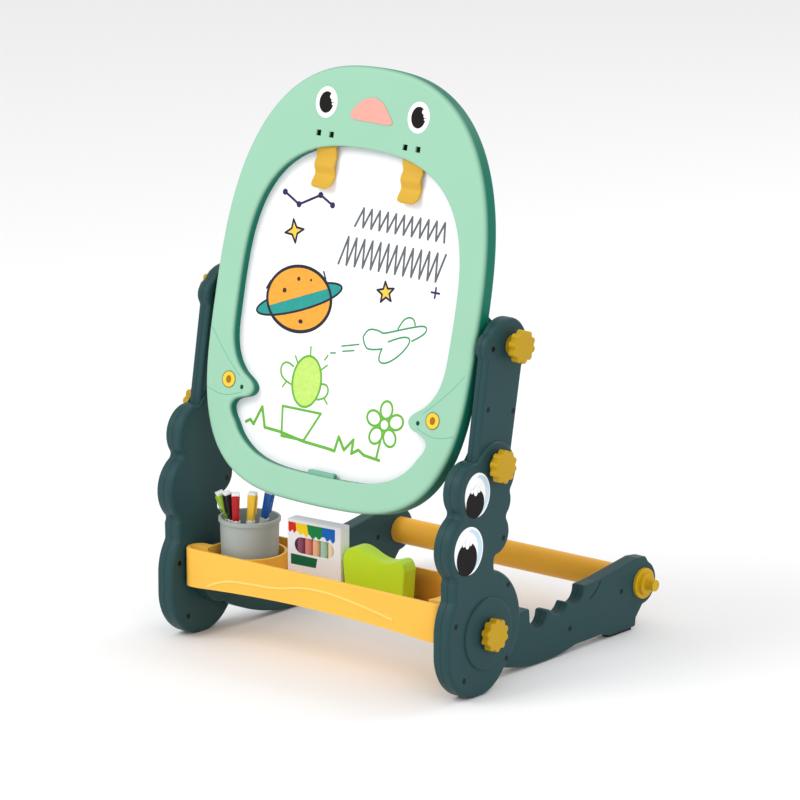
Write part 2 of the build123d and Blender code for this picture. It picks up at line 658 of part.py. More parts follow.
# ---- paper clips -------------------------------------------------------------------------------------
def clip(x):
    """Wavy spring clip that presses on the sheet; drawn from its side, (depth, height)."""
    eye = (-CLIP_AXIS[1], CLIP_AXIS[0])
    path = trace(Spline(eye, *CLIP_WAVE), line_width=CLIP_T) + Pos(*eye) * Circle(CLIP_PIN_R + CLIP_EYE_WALL)
    path -= Pos(*eye) * Circle(CLIP_PIN_R + RUNNING)
    tilt = radians(BOARD_TILT)
    deeper = (0, cos(tilt), -sin(tilt))
    plane = Plane(origin=(x - CLIP_W / 2, BOARD_Y, BOARD_Z), x_dir=deeper, z_dir=(1, 0, 0))
    above_tip = CLIP_AXIS[0] + CLIP_W - CLIP_TIP_V
    shield = Pos(x, CLIP_TIP_V + above_tip / 2) * RectangleRounded(CLIP_W, above_tip, CLIP_TIP_R)
    return extrude(plane * path, amount=CLIP_W) & board_slab(shield, -BOARD_T, BOARD_SEAM)


def clip_pin():
    tilt = radians(BOARD_TILT)
    pin_y = BOARD_Y + CLIP_AXIS[0] * sin(tilt) - CLIP_AXIS[1] * cos(tilt)
    pin_z = BOARD_Z + CLIP_AXIS[0] * cos(tilt) + CLIP_AXIS[1] * sin(tilt)
    half = CLIP_W / 2 + CLIP_BOSS[0]
    return rod((pin_y, pin_z), CLIP_PIN_R, CLIP_X - half, CLIP_X + half)


def clips():
    pin = clip_pin()
    save("clip_right", clip(CLIP_X))
    save("clip_left", clip(-CLIP_X))
    save("clip_pins", pin, left(pin))


# ---- tray ------------------------------------------------------------------------------------------------
def plan_box(x_half, y_from, y_to, corner):
    """A rounded rectangle seen from above, centred on X."""
    return Pos(0, (y_from + y_to) / 2) * RectangleRounded(2 * x_half, y_to - y_from, corner)


def tray_plan(inset, ear_rear_y):
    """The tray from above, drawn in by an inset, with ears that reach the legs at its front."""
    front, rear = TRAY_FRONT_Y + inset, ear_rear_y - inset
    main = plan_box(TRAY_HALF_W - inset, front, TRAY_REAR_Y - inset, TRAY_CORNER_R - inset)
    ledge = plan_box(TRAY_EAR_X - inset, front, TRAY_LEDGE_REAR_Y, TRAY_EAR_R - inset)
    return main + (ledge & Pos(0, (front + rear) / 2) * Rectangle(WIDTH, rear - front))


def tray():
    lip_z = TRAY_TOP_Z - TRAY_LIP
    body = extrude(Plane.XY.offset(lip_z) * tray_plan(0, TRAY_LEDGE_REAR_Y), amount=TRAY_LIP)
    body = fillet(body.faces().sort_by(Axis.Z)[-1].edges(), TRAY_LIP_R)
    body += extrude(Plane.XY.offset(TRAY_Z) * tray_plan(0, TRAY_EAR_REAR_Y), amount=lip_z - TRAY_Z)
    inside = tray_plan(TRAY_WALL, TRAY_EAR_REAR_Y)
    height = TRAY_TOP_Z - TRAY_FLOOR_Z
    body -= extrude(Plane.XY.offset(TRAY_FLOOR_Z) * inside, amount=height + 1)
    arch_r = (TRAY_HALF_W ** 2 + TRAY_ARCH ** 2) / (2 * TRAY_ARCH)
    body -= Pos(0, 0, TRAY_Z + TRAY_ARCH - arch_r) * Rot(90, 0, 0) * Cylinder(arch_r, 900)
    bend = Pos(*CUP_AXIS) * (Circle(DIVIDER_R + DIVIDER_T) - Circle(DIVIDER_R))
    right_of_cup = Pos(CUP_AXIS[0] + 40, CUP_AXIS[1]) * Rectangle(80, 200)
    divider = bend & right_of_cup & tray_plan(1.0, TRAY_EAR_REAR_Y)
    body += extrude(Plane.XY.offset(TRAY_FLOOR_Z - 1) * divider, amount=height - 2)
    screws = []
    for sign in (-1, 1):
        body -= rod(TRAY_SCREW, 1.4, sign * (TRAY_EAR_X - 8), sign * (TRAY_EAR_X + 1))
        screws.append(rod(TRAY_SCREW, 1.35, sign * (TRAY_EAR_X - 7.5), sign * (LEG_IN_X + 2.9)))
    save("drawing_tray", body)
    return screws


# ---- cup, markers, chalks and eraser ----------------------------------------------------------
def cup():
    foot_z = TRAY_FLOOR_Z + GAP
    x, y = CUP_AXIS
    lip_z = CUP_RIM_Z - CUP_RIM_H
    outer = [(0, foot_z), (CUP_FOOT_R, foot_z), (CUP_BODY_R, lip_z), (CUP_R, lip_z), (CUP_R, CUP_RIM_Z),
             (CUP_BODY_R - CUP_WALL, CUP_RIM_Z), (CUP_FOOT_R - CUP_WALL, foot_z + 2), (0, foot_z + 2)]
    profile = Plane.XZ * polygon(outer)
    shape = revolve(profile, Axis.Z)
    rim = shape.edges().group_by(Axis.Z)[-1]
    return Pos(x, y, 0) * fillet(rim, 0.7)


def across_to_xy(across, away):
    """Turn (across, away) about the cup's axis into X and Y."""
    turn = radians(VIEW_TURN)
    return (CUP_AXIS[0] + across * cos(turn) - away * sin(turn),
            CUP_AXIS[1] + across * sin(turn) + away * cos(turn))


def marker_plane(foot, rim):
    """A plane at a marker's foot whose normal runs along the marker."""
    low = across_to_xy(*foot)
    high = across_to_xy(*rim)
    rise = CUP_RIM_Z - MARKER_Z
    return Plane(origin=(*low, MARKER_Z), z_dir=(high[0] - low[0], high[1] - low[1], rise))


def markers():
    barrel_len = MARKER_LEN - 8
    for name, foot, rim in MARKERS:
        plane = marker_plane(foot, rim)
        cap_from = MARKER_LEN - MARKER_CAP_LEN
        barrel = extrude(plane * Circle(MARKER_R), amount=cap_from)
        barrel = chamfer(barrel.edges().sort_by(Axis.Z)[0], 1.0)
        barrel += extrude(plane * Circle(MARKER_R - 1.2), amount=barrel_len)
        cap = extrude(plane.offset(cap_from) * Circle(MARKER_CAP_R), amount=MARKER_CAP_LEN)
        cap -= extrude(plane.offset(cap_from) * Circle(MARKER_R - 1.2), amount=barrel_len - cap_from + 0.2)
        save(f"marker_{name}_barrel", barrel)
        save(f"marker_{name}_cap", cap)


def chalks():
    """A carton with a window, turned a little in the tray, and the sticks inside it."""
    width, depth, height = BOX_SIZE
    foot_z = TRAY_FLOOR_Z + GAP
    place = Pos(*BOX_CENTRE, foot_z) * Rot(0, 0, BOX_TURN)
    carton = Pos(0, 0, height / 2) * Box(width, depth, height)
    hollow = Box(width - 2 * BOX_WALL, depth - 2 * BOX_WALL, height - 2 * BOX_WALL)
    carton -= Pos(0, 0, height / 2) * hollow
    window = Pos(0, WINDOW[2]) * SlotOverall(WINDOW[0], WINDOW[1])
    carton -= extrude(Plane.XZ.offset(depth / 2 - 2) * window, amount=4)
    save("chalk_box", place * carton)
    sticks = []
    for number in range(CHALK_COUNT):
        x = (number - (CHALK_COUNT - 1) / 2) * CHALK_PITCH
        y = -(depth / 2 - BOX_WALL - CHALK_R - 0.1)
        sticks.append(place * Pos(x, y, BOX_WALL + CHALK_LEN / 2) * Cylinder(CHALK_R, CHALK_LEN))
    save("chalk_sticks", *sticks)


def eraser():
    """A board eraser on its edge: wavy plastic back and a felt pad behind it."""
    foot = TRAY_FLOOR_Z + GAP
    left_x, right_x = ERASER_FOOT_X
    ends = Polyline(ERASER_TOP[-1], (right_x, foot), (left_x, foot), ERASER_TOP[0])
    outline = make_face(Spline(*ERASER_TOP) + ends)
    shape = fillet(outline.vertices(), 3.0)
    body = extrude(Plane.XZ.offset(-ERASER_FACE_Y) * shape, amount=-ERASER_T)
    body = fillet(body.faces().sort_by(Axis.Y)[0].edges(), 2.0)
    pad = Pos((left_x + right_x) / 2, foot + FELT_SIZE[1] / 2 + 2) * RectangleRounded(*FELT_SIZE)
    felt = extrude(Plane.XZ.offset(-ERASER_FACE_Y - ERASER_T) * pad, amount=-FELT_T)
    save("eraser_body", body)
    save("eraser_felt", felt)


def main():
    front_legs()
    leg_eyes()
    arms()
    rear_frame()
    hardware()
    board()
    clips()
    save("tray_screws", *tray())
    save("pen_cup", cup())
    markers()
    chalks()
    eraser()


main()
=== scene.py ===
"""Tabletop children's easel: finishes, printed faces, tray goods and studio."""
import json
import logging
import math
from dataclasses import dataclass, field
from enum import Enum
from typing import Any, Callable, Iterable, Sequence

import bpy
from mathutils import Matrix, Vector


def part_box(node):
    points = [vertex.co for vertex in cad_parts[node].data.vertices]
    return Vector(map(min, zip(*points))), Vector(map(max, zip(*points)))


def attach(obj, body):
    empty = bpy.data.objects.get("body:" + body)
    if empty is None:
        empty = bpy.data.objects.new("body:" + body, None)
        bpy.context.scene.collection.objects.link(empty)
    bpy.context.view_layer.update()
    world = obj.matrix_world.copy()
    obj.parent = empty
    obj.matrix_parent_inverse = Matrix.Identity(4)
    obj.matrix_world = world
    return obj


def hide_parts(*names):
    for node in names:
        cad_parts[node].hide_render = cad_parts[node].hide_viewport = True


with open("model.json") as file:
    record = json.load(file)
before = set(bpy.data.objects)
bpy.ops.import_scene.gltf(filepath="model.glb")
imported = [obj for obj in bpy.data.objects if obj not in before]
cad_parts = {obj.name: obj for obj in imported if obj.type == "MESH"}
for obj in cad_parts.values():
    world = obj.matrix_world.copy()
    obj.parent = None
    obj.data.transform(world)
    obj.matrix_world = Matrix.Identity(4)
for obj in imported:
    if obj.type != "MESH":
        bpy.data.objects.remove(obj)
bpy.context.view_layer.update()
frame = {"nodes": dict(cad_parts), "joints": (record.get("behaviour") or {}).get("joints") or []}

MM = 0.001
LOG = logging.getLogger("easel")
PLASTIC_SHINE = 0.12
FRAME_SHINE = 0.15
INK_SHINE = 0.08
INK_HEIGHT = 0.12
SMOOTH_ANGLE = 35

Point = tuple[float, float]
Colour = tuple[float, float, float]

MINT: Colour = (0.305, 0.555, 0.400)


class Body(Enum):
    """The moving bodies that new pieces ride on."""

    LEGS = "front_legs"
    BOARD = "board"
    CHALK = "chalk_box"


class Corner(Enum):
    """How a drawn line goes through its points."""

    SOFT = "NURBS"
    SHARP = "POLY"


# ---- shader maths -------------------------------------------------------------------------
class Value:
    """A shader socket that takes part in ordinary arithmetic."""

    def __init__(self, shader: "Shader", socket: bpy.types.NodeSocket) -> None:
        """Keep the socket and the shader that it belongs to."""
        self.shader = shader
        self.socket = socket

    def _maths(self, operation: str, first: Any, second: Any) -> "Value":
        """Add one Math node.

        Args:
            operation: the Math node's operation.
            first: its first value or socket.
            second: its second value or socket.

        Returns:
            The node's result.
        """
        return self.shader.node("ShaderNodeMath", {"operation": operation}, {0: first, 1: second})

    def __add__(self, other: Any) -> "Value":
        """Add."""
        return self._maths("ADD", self, other)

    def __radd__(self, other: Any) -> "Value":
        """Add, from the right."""
        return self._maths("ADD", other, self)

    def __sub__(self, other: Any) -> "Value":
        """Take away."""
        return self._maths("SUBTRACT", self, other)

    def __rsub__(self, other: Any) -> "Value":
        """Take this away from a number."""
        return self._maths("SUBTRACT", other, self)

    def __mul__(self, other: Any) -> "Value":
        """Multiply."""
        return self._maths("MULTIPLY", self, other)

    def __rmul__(self, other: Any) -> "Value":
        """Multiply, from the right."""
        return self._maths("MULTIPLY", other, self)

    def __abs__(self) -> "Value":
        """Size without sign."""
        return self._maths("ABSOLUTE", self, 0.0)


class Shader:
    """Builds one material, node by node."""

    def __init__(self, name: str) -> None:
        """Start a material with a Principled shader.

        Args:
            name: the material's name.
        """
        self.material = bpy.data.materials.new(name)
        self.material.use_nodes = True
        self.tree = self.material.node_tree
        self.principled = next(n for n in self.tree.nodes if n.type == "BSDF_PRINCIPLED")
        place = self.tree.nodes.new("ShaderNodeTexCoord")
        self.place = Value(self, place.outputs["Object"])

    def node(self, kind: str, settings: dict[str, Any], inputs: dict[Any, Any], out: Any = 0) -> Value:
        """Add a node.

        Args:
            kind: the node's type.
            settings: attributes, set first.
            inputs: values or links, by the socket's name or number.
            out: the output's name or number.

        Returns:
            The chosen output.
        """
        made = self.tree.nodes.new(kind)
        for key, value in settings.items():
            setattr(made, key, value)
        for key, value in inputs.items():
            self.feed(made.inputs[key], value)
        return Value(self, made.outputs[out])

    def feed(self, socket: bpy.types.NodeSocket, value: Any) -> None:
        """Link or set one input."""
        if isinstance(value, Value):
            self.tree.links.new(value.socket, socket)
        else:
            socket.default_value = value

    def noise(self, scale: float, detail: float = 3.0, stretch: Sequence[float] = (1, 1, 1)) -> Value:
        """Noise over the piece, from 0 to 1.

        Args:
            scale: features to the metre.
            detail: octaves.
            stretch: scale along each axis.

        Returns:
            The noise.
        """
        where = self.node("ShaderNodeMapping", {}, {"Vector": self.place, "Scale": tuple(stretch)})
        return self.node("ShaderNodeTexNoise", {}, {"Vector": where, "Scale": scale, "Detail": detail})

    def axis(self, letter: str) -> Value:
        """One coordinate of the surface, in metres."""
        return self.node("ShaderNodeSeparateXYZ", {}, {0: self.place}, letter)

    def ramp(self, value: Value, low: float, high: float) -> Value:
        """A smooth step from 0 at low to 1 at high."""
        settings = {"interpolation_type": "SMOOTHSTEP"}
        return self.node("ShaderNodeMapRange", settings, {"Value": value, "From Min": low, "From Max": high})

    def mix(self, factor: Any, first: Any, second: Any) -> Value:
        """Blend two colours."""
        first = first if isinstance(first, Value) else (*first, 1.0)
        second = second if isinstance(second, Value) else (*second, 1.0)
        return self.node("ShaderNodeMix", {"data_type": "RGBA"}, {0: factor, 6: first, 7: second}, 2)

    def relief(self, height: Value, distance: float, strength: float = 0.4) -> None:
        """Give the surface a fine relief, in metres."""
        bump = self.node("ShaderNodeBump", {}, {"Height": height, "Distance": distance, "Strength": strength})
        self.feed(self.principled.inputs["Normal"], bump)

    def set(self, **inputs: Any) -> None:
        """Set sockets of the Principled shader, with underscores for spaces."""
        for key, value in inputs.items():
            self.feed(self.principled.inputs[key.replace("_", " ")], value)


# ---- finishes -------------------------------------------------------------------------------
def shade(colour: Colour, amount: float) -> Colour:
    """A colour made lighter or darker by a factor."""
    return tuple(min(1.0, part * amount) for part in colour)


@dataclass(frozen=True)
class Moulded:
    """Injection-moulded plastic with a fine spark-eroded texture."""

    name: str
    colour: Colour
    rough: float = 0.42
    grain: float = 1800.0
    relief: float = 0.00005
    gloss: float = 0.0
    seam_x: float | None = None

    def material(self) -> bpy.types.Material:
        """Build the finish.

        Returns:
            The material.
        """
        shader = Shader(self.name)
        cloud = shader.noise(14.0)
        grain = shader.noise(self.grain, 2.0)
        height = grain
        tone = shader.mix(cloud, shade(self.colour, 0.93), shade(self.colour, 1.06))
        if self.seam_x is not None:
            apart = abs(abs(shader.axis("X")) - self.seam_x)
            line = 1 - shader.ramp(apart, 0.0002, 0.0007)
            tone = shader.mix(line * 0.7, tone, shade(self.colour, 0.35))
            height = grain - line * 6
        shader.set(Base_Color=tone, Roughness=cloud * 0.08 + (self.rough - 0.04), Coat_Roughness=0.2)
        shader.set(Coat_Weight=self.gloss, Specular_IOR_Level=PLASTIC_SHINE)
        shader.relief(height, self.relief)
        return shader.material


@dataclass(frozen=True)
class BoardFrame:
    """Moulded mint frame, with painted shade that deepens down the sides of its opening."""

    name: str
    face: Colour
    # the colour of the painted shade at the foot of the opening's sides
    wall: Colour
    tilt: float
    origin: tuple[float, float]

    def material(self) -> bpy.types.Material:
        """Build the finish.

        Returns:
            The material.
        """
        shader = Shader(self.name)
        turn = math.radians(self.tilt)
        forward = (shader.axis("Y") - self.origin[0]) * math.cos(turn)
        depth = forward - (shader.axis("Z") - self.origin[1]) * math.sin(turn)
        cloud = shader.noise(11.0)
        pale = shader.mix(cloud, shade(self.face, 0.96), shade(self.face, 1.03))
        # painted shade: deeper into the opening the mint turns to the dark shade colour, as shade falls there
        tone = shader.mix(shader.ramp(depth, 0.0, 0.0060), pale, self.wall)
        shader.set(Base_Color=tone, Roughness=cloud * 0.08 + 0.36, Specular_IOR_Level=FRAME_SHINE)
        shader.relief(shader.noise(1700.0, 2.0), 0.00004)
        return shader.material


@dataclass(frozen=True)
class Printed:
    """Ink or a printed plate."""

    name: str
    colour: Colour
    rough: float = 0.35
    patchy: float = 0.08

    def material(self) -> bpy.types.Material:
        """Build the finish.

        Returns:
            The material.
        """
        shader = Shader(self.name)
        blot = shader.noise(260.0, 4.0)
        low, high = shade(self.colour, 1 - self.patchy), shade(self.colour, 1 + self.patchy)
        shader.set(Base_Color=shader.mix(blot, low, high), Roughness=blot * 0.1 + (self.rough - 0.05),
                   Specular_IOR_Level=INK_SHINE)
        shader.relief(shader.noise(900.0), 0.00002)
        return shader.material


@dataclass(frozen=True)
class Metal:
    """Zinc-plated steel with fine turning marks."""

    name: str
    colour: Colour = (0.55, 0.56, 0.58)

    def material(self) -> bpy.types.Material:
        """Build the finish.

        Returns:
            The material.
        """
        shader = Shader(self.name)
        marks = shader.noise(500.0, 3.0, (6, 1, 1))
        tone = shader.mix(marks, shade(self.colour, 0.8), shade(self.colour, 1.1))
        shader.set(Base_Color=tone, Metallic=1.0, Roughness=marks * 0.25 + 0.25)
        shader.relief(marks, 0.00002)
        return shader.material


@dataclass(frozen=True)
class Powdery:
    """Felt, rubber, slate paint or chalk: rough, with a strong fine relief."""

    name: str
    colour: Colour
    dust: Colour
    amount: float = 0.3
    scale: float = 900.0

    def material(self) -> bpy.types.Material:
        """Build the finish.

        Returns:
            The material.
        """
        shader = Shader(self.name)
        fibre = shader.noise(self.scale, 5.0)
        smear = shader.ramp(shader.noise(24.0, 5.0), 0.42, 0.75)
        shader.set(Base_Color=shader.mix(smear * self.amount, self.colour, self.dust), Roughness=0.92)
        shader.relief(fibre, 0.0001, 0.7)
        return shader.material


@dataclass(frozen=True)
class ChalkRow:
    """Pastel sticks, one colour after another along the carton."""

    name: str
    centre_x: float
    pitch: float
    colours: tuple[Colour, ...]

    def material(self) -> bpy.types.Material:
        """Build the finish.

        Returns:
            The material.
        """
        shader = Shader(self.name)
        across = shader.axis("X")
        tone: Any = self.colours[0]
        for number, colour in enumerate(self.colours[1:], 1):
            edge = self.centre_x + (number - len(self.colours) / 2) * self.pitch
            tone = shader.mix(shader.ramp(across, edge - 0.0002, edge + 0.0002), tone, colour)
        shader.set(Base_Color=tone, Roughness=0.9)
        shader.relief(shader.noise(1200.0, 4.0), 0.00008, 0.6)
        return shader.material


# ---- modelling helpers ------------------------------------------------------------------------
def all_off() -> None:
    """Deselect everything, in object mode."""
    if bpy.context.object and bpy.context.object.mode != "OBJECT":
        bpy.ops.object.mode_set(mode="OBJECT")
    bpy.ops.object.select_all(action="DESELECT")


def pick(objects: Sequence[bpy.types.Object]) -> None:
    """Select these objects only, with the first one active."""
    all_off()
    for thing in objects:
        thing.select_set(True)
    bpy.context.view_layer.objects.active = objects[0]


def in_edit(action: Callable[[], Any]) -> None:
    """Run an action on the whole active mesh in edit mode."""
    bpy.ops.object.mode_set(mode="EDIT")
    bpy.ops.mesh.select_all(action="SELECT")
    action()
    bpy.ops.object.mode_set(mode="OBJECT")


def ellipse(x: float, v: float, across: float, up: float, turn: float = 0.0, count: int = 48) -> list[Point]:
    """Points round an ellipse in millimetres.

    Args:
        x: its centre, across.
        v: its centre, up.
        across: half its width.
        up: half its height.
        turn: its turn in degrees.
        count: the number of points.

    Returns:
        The points.
    """
    tilt = math.radians(turn)
    points = []
    for step in range(count):
        angle = 2 * math.pi * step / count
        a, b = across * math.cos(angle), up * math.sin(angle)
        shift = (a * math.cos(tilt) - b * math.sin(tilt), a * math.sin(tilt) + b * math.cos(tilt))
        points.append((x + shift[0], v + shift[1]))
    return points


def star(x: float, v: float, tips: int, outer: float, inner: float, turn: float = 0.0) -> list[Point]:
    """Corners of a star in millimetres, from its centre, tips and two radii."""
    points = []
    for step in range(2 * tips):
        angle = math.radians(90 + turn) + math.pi * step / tips
        reach = outer if step % 2 == 0 else inner
        points.append((x + reach * math.cos(angle), v + reach * math.sin(angle)))
    return points


def line(points: Sequence[Point], width: float, closed: bool = False, corner: Corner = Corner.SOFT,
         height: float = INK_HEIGHT) -> bpy.types.Object:
    """Draw a line as a flat rounded bead.

    Args:
        points: the line's points in millimetres.
        width: its width in millimetres.
        closed: whether it joins up.
        corner: how it goes through its points.
        height: how far it stands up, in millimetres.

    Returns:
        The bead, flat on XY.
    """
    all_off()
    bpy.ops.curve.primitive_nurbs_path_add()
    made = bpy.context.object
    curve = made.data
    curve.splines.clear()
    spline = curve.splines.new(corner.value)
    spline.points.add(len(points) - 1)
    for knot, (x, v) in zip(spline.points, points):
        knot.co = (x * MM, v * MM, 0.0, 1.0)
    spline.use_cyclic_u = closed
    spline.use_endpoint_u = not closed
    spline.order_u = 3
    curve.bevel_depth = width / 2 * MM
    curve.bevel_resolution = 2
    curve.resolution_u = 5
    curve.use_fill_caps = True
    bpy.ops.object.convert(target="MESH")
    made = bpy.context.object
    made.data.transform(Matrix.Diagonal((1, 1, 2 * height / width, 1)))
    return made


def strokes(points: Sequence[Point], width: float, closed: bool = False) -> list[bpy.types.Object]:
    """Draw straight pen strokes with round joints.

    Args:
        points: the corners in millimetres.
        width: the stroke's width in millimetres.
        closed: whether the last corner joins the first.

    Returns:
        One bead for each stroke and one dot for each corner.
    """
    corners = list(points)
    ends = corners[1:] + (corners[:1] if closed else [])
    beads = [line(pair, width, corner=Corner.SHARP) for pair in zip(corners, ends)]
    return beads + [patch(ellipse(x, v, width / 2, width / 2, count=12), 0.1) for x, v in corners]


def patch(points: Sequence[Point], height: float = 0.1, edge: float = 0.0) -> bpy.types.Object:
    """Raise a filled outline.

    Args:
        points: the outline in millimetres.
        height: its thickness in millimetres.
        edge: the bevel round its top, in millimetres.

    Returns:
        The plate, standing on XY.
    """
    all_off()
    bpy.ops.mesh.primitive_circle_add(vertices=len(points), fill_type="NGON")
    made = bpy.context.object
    for corner, (x, v) in zip(made.data.vertices, points):
        corner.co = (x * MM, v * MM, 0.0)
    lift = {"value": (0, 0, height * MM)}
    in_edit(lambda: bpy.ops.mesh.extrude_region_move(TRANSFORM_OT_translate=lift))
    in_edit(lambda: bpy.ops.mesh.normals_make_consistent(inside=False))
    if edge:
        rim = made.modifiers.new("edge", "BEVEL")
        rim.width, rim.segments, rim.limit_method = edge * MM, 3, "ANGLE"
        bpy.ops.object.modifier_apply(modifier="edge")
    return made


@dataclass(frozen=True)
class Face:
    """A flat face of the easel that things are drawn on."""

    origin: tuple[float, float, float]
    across: tuple[float, float, float]
    up: tuple[float, float, float]

    def matrix(self, lift: float = 0.0) -> Matrix:
        """From the face's own millimetres to the frame.

        Args:
            lift: how far in front of the face, in millimetres.

        Returns:
            The placing matrix.
        """
        across, up = Vector(self.across), Vector(self.up)
        out = across.cross(up)
        place = Matrix((across, up, out)).transposed().to_4x4()
        place.translation = (Vector(self.origin) + out * lift) * MM
        return place


def settle(parts: Sequence[bpy.types.Object], name: str, place: Matrix, body: Body | str,
           material: bpy.types.Material) -> bpy.types.Object:
    """Join parts into one finished piece.

    Args:
        parts: the parts, flat on XY.
        name: the piece's name.
        place: the matrix that puts it on the easel.
        body: the body that it rides on.
        material: its finish.

    Returns:
        The piece.
    """
    pick(parts)
    if len(parts) > 1:
        bpy.ops.object.join()
    piece = bpy.context.object
    bpy.ops.object.transform_apply(location=True, rotation=True, scale=True)
    piece.data.transform(place)
    bpy.ops.object.shade_smooth_by_angle(angle=math.radians(SMOOTH_ANGLE))
    piece.name = name
    piece.data.materials.clear()
    piece.data.materials.append(material)
    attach(piece, body.value if isinstance(body, Body) else body)
    LOG.info("made %s: %d faces", name, len(piece.data.polygons))
    return piece


def dress(material: bpy.types.Material, nodes: Iterable[str]) -> None:
    """Give CAD nodes a finish."""
    for name in nodes:
        node = frame["nodes"][name]
        if not node.material_slots:
            node.data.materials.append(material)
        for holder in node.material_slots:
            holder.material = material
        LOG.info("dressed %s", name)


def both(pattern: str) -> list[str]:
    """Names for the left and right hand of a node."""
    return [pattern.format("left"), pattern.format("right")]


# ---- sub-assemblies ------------------------------------------------------------------------------
@dataclass
class Board:
    """The tilting board: frame, animal face, sheets and clips."""

    tilt: float = 13.5
    origin: tuple[float, float, float] = (0.0, -107.2, 400.0)
    sheet_depth: float = 12.0
    eye: Point = (59.3, 164.0)
    side_eye: Point = (132.5, -129.3)
    # centre of the painted shade for the opening below each side eye
    nostril: Point = (114.5, -134.5)
    brow: tuple[Point, ...] = ((164, -80), (152, -94), (140, -106), (129, -116), (119, -124))
    mouth: tuple[Point, ...] = ((160, -141), (149, -144.5), (136, -146), (124, -143.5), (114, -139.5))
    nose: tuple[Point, ...] = ((-24, 151.4), (-27, 155), (-25, 161), (-16, 170.5), (-6, 175.8), (4, 176),
                               (13, 172), (21, 163), (27, 156), (27.5, 152.6), (23, 151.2), (0, 151.4))

    def _mint(self, name: str, wall: Colour) -> bpy.types.Material:
        """The mint finish, with painted shade that deepens down the frame's inner sides.

        Args:
            name: the finish's name.
            wall: the colour of the painted shade at the foot of the opening's sides.

        Returns:
            The material.
        """
        origin = (self.origin[1] * MM, self.origin[2] * MM)
        return BoardFrame(name, MINT, wall, self.tilt, origin).material()

    def face(self) -> Face:
        """The plane of the board's front."""
        turn = math.radians(self.tilt)
        return Face(self.origin, (1, 0, 0), (0, math.sin(turn), math.cos(turn)))

    def dress(self) -> None:
        """Give the CAD nodes their finishes."""
        # the second colour is the painted shade at the foot of the opening's sides
        dress(self._mint("mint_frame", (0.003, 0.15, 0.095)), ["board_frame_front", "board_frame_rear"])
        dress(Printed("writing_sheet", (0.90, 0.90, 0.92), 0.18, 0.012).material(), ["whiteboard_sheet"])
        slate = Powdery("chalk_sheet", (0.018, 0.024, 0.022), (0.08, 0.09, 0.085), 0.3)
        dress(slate.material(), ["blackboard_sheet"])
        dress(Moulded("clip_yellow", (0.64, 0.38, 0.04), 0.35, gloss=0.03).material(), both("clip_{}"))
        dress(Printed("eye_white", (0.93, 0.93, 0.93), 0.25, 0.02).material(), ["board_eye_whites"])
        dress(Printed("eye_black", (0.012, 0.011, 0.010), 0.3).material(), ["board_eye_pupils"])
        dress(Printed("eye_yellow", (0.90, 0.56, 0.06), 0.3).material(), ["head_eyes"])
        dress(Metal("zinc").material(), ["board_screws", "board_bolts", "clip_pins"])

    def build(self) -> None:
        """Build the nose, the glints in the eyes and the lines of the side heads."""
        front = self.face()
        nose = settle([patch(self._rounded(self.nose), 0.9, 0.5)], "nose_dome", front.matrix(), Body.BOARD,
                      Printed("nose_pink", (0.83, 0.36, 0.30), 0.4, 0.04).material())
        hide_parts("board_nose")
        glints = []
        for x in (-self.eye[0], self.eye[0]):
            for dx, dv, size in ((6.6, 6.4, 2.7), (8.0, 2.4, 1.7), (8.6, -1.0, 1.1)):
                glints.append(patch(ellipse(x + dx, self.eye[1] + dv, size, size, count=20), INK_HEIGHT))
        settle(glints, "board_eye_glints", front.matrix(1.0), Body.BOARD,
               Printed("glint_white", (0.93, 0.93, 0.93), 0.25, 0.02).material())
        self._side_heads(front)
        edge = [(-17, -209.5), (17, -209.5), (17, -203.5), (15.5, -202), (-15.5, -202), (-17, -203.5)]
        tab = patch(edge, 6.0, 0.8)
        # the tab sits down in the opening, so it takes the same painted shade
        finish = self._mint("mint_tab", (0.06, 0.30, 0.20))
        settle([tab], "release_tab", front.matrix(-9.0), Body.BOARD, finish)

    def _rounded(self, corners: Sequence[Point], rounds: int = 3) -> list[Point]:
        """Cut an outline's corners off, over and over, until it is smooth."""
        points = list(corners)
        for _ in range(rounds):
            cut = []
            for first, second in zip(points, points[1:] + points[:1]):
                cut.append((first[0] * 0.75 + second[0] * 0.25, first[1] * 0.75 + second[1] * 0.25))
                cut.append((first[0] * 0.25 + second[0] * 0.75, first[1] * 0.25 + second[1] * 0.75))
            points = cut
        return points

    def _side_heads(self, front: Face) -> None:
        """Pupils and rims of the two heads that reach in from the sides, with painted shade for the openings
        below their eyes and for their moulded brow and mouth creases.
        """
        pupils, rims, dots, crease_shades = [], [], [], []
        for hand in (-1, 1):
            x, v = hand * self.side_eye[0], self.side_eye[1]
            pupils.append(patch(ellipse(x, v, 3.4, 4.0, count=24), INK_HEIGHT))
            rims.append(line(ellipse(x, v, 8.3, 8.3, count=24), 0.8, True))
            # painted shade: dark green dots where the openings below the eyes lie in shade
            nostril = ellipse(hand * self.nostril[0], self.nostril[1], 2.2, 2.4, count=20)
            dots.append(patch(nostril, INK_HEIGHT))
            brow = [(hand * a, b) for a, b in self.brow]
            mouth = [(hand * a, b) for a, b in self.mouth]
            # painted shade: dark mint lines along the moulded brow and mouth creases, where shade falls
            crease_shades += [line(brow, 0.7, height=0.1), line(mouth, 0.7, height=0.1)]
        settle(pupils, "head_pupils", front.matrix(0.5), Body.BOARD,
               Printed("pupil_brown", (0.33, 0.16, 0.01)).material())
        settle(rims, "head_eye_rims", front.matrix(0.5), Body.BOARD,
               Printed("rim_olive", (0.16, 0.13, 0.03)).material())
        settle(dots, "head_nostrils", front.matrix(), Body.BOARD,
               Printed("nostril_green", (0.01, 0.07, 0.04)).material())
        settle(crease_shades, "head_creases", front.matrix(), Body.BOARD,
               Printed("crease_green", (0.13, 0.40, 0.30)).material())


